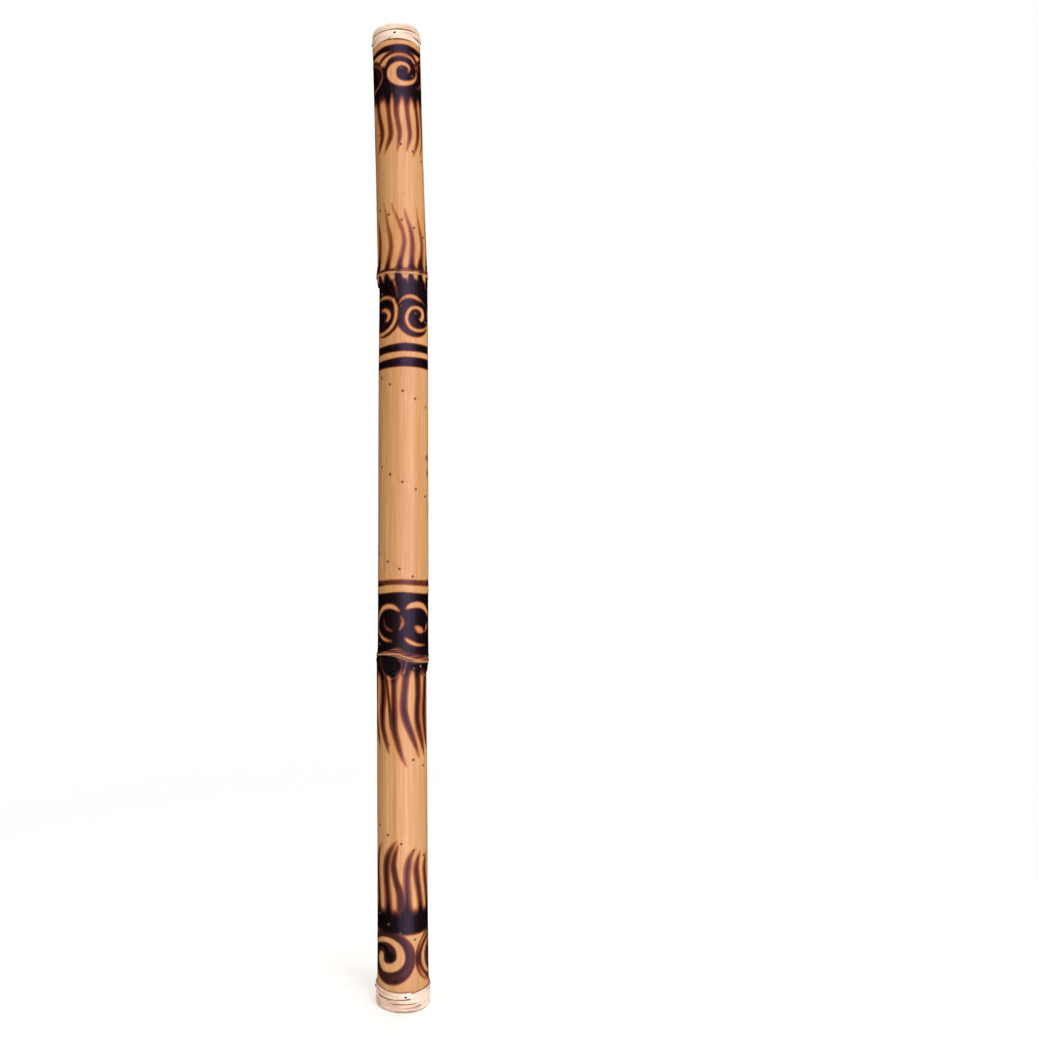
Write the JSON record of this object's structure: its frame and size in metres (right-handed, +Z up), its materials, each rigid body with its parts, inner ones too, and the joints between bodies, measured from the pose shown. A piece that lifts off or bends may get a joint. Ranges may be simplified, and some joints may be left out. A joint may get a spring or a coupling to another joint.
{
  "type": "rainstick",
  "caption": "Bamboo rainstick: a burnt-patterned culm with a spiral of inner pins, a pebble filling that falls past them, end plugs and nailed cane bindings.",
  "frame": {"origin": "centre of the flat bottom face, on the axis of the lower internode and of the bore", "axes": "+Z up the stick to its other end; -Y is the side with the bud scar; +X is to the right when the bud scar is faced"},
  "size_m": [0.0581, 0.0578, 1.0005],
  "materials": {
    "bamboo": "polished dry bamboo with scorched spirals and flame licks",
    "plug_wood": "sawn, matte",
    "split_cane": "split cane, satin, fibrous",
    "brad_steel": "tarnished",
    "pin_wood": "cut end grain, dull",
    "pebble_stone": "smooth river pebble",
    "grit_stone": "coarse sand"
  },
  "bodies": {
    "stick": {"bamboo_culm": "bamboo", "bottom_end_plug": "plug_wood", "top_end_plug": "plug_wood", "bottom_cane_hoop_lower": "split_cane", "bottom_cane_hoop_middle": "split_cane", "bottom_cane_hoop_upper": "split_cane", "top_cane_hoop_lower": "split_cane", "top_cane_hoop_middle": "split_cane", "top_cane_hoop_upper": "split_cane", "bottom_brads": "brad_steel", "top_brads": "brad_steel", "rain_pins_turn_01": "pin_wood", "rain_pins_turn_02": "pin_wood", "rain_pins_turn_03": "pin_wood", "rain_pins_turn_04": "pin_wood", "rain_pins_turn_05": "pin_wood", "rain_pins_turn_06": "pin_wood", "rain_pins_turn_07": "pin_wood", "rain_pins_turn_08": "pin_wood", "rain_pins_turn_09": "pin_wood", "rain_pins_turn_10": "pin_wood"},
    "filling": {"pebbles": "pebble_stone", "grit": "grit_stone"}
  },
  "joints": [
    {"name": "filling_fall", "type": "slide", "parent": "stick", "child": "filling", "axis": [0, 0, 1], "range_m": [0, 0.93]}
  ]
}
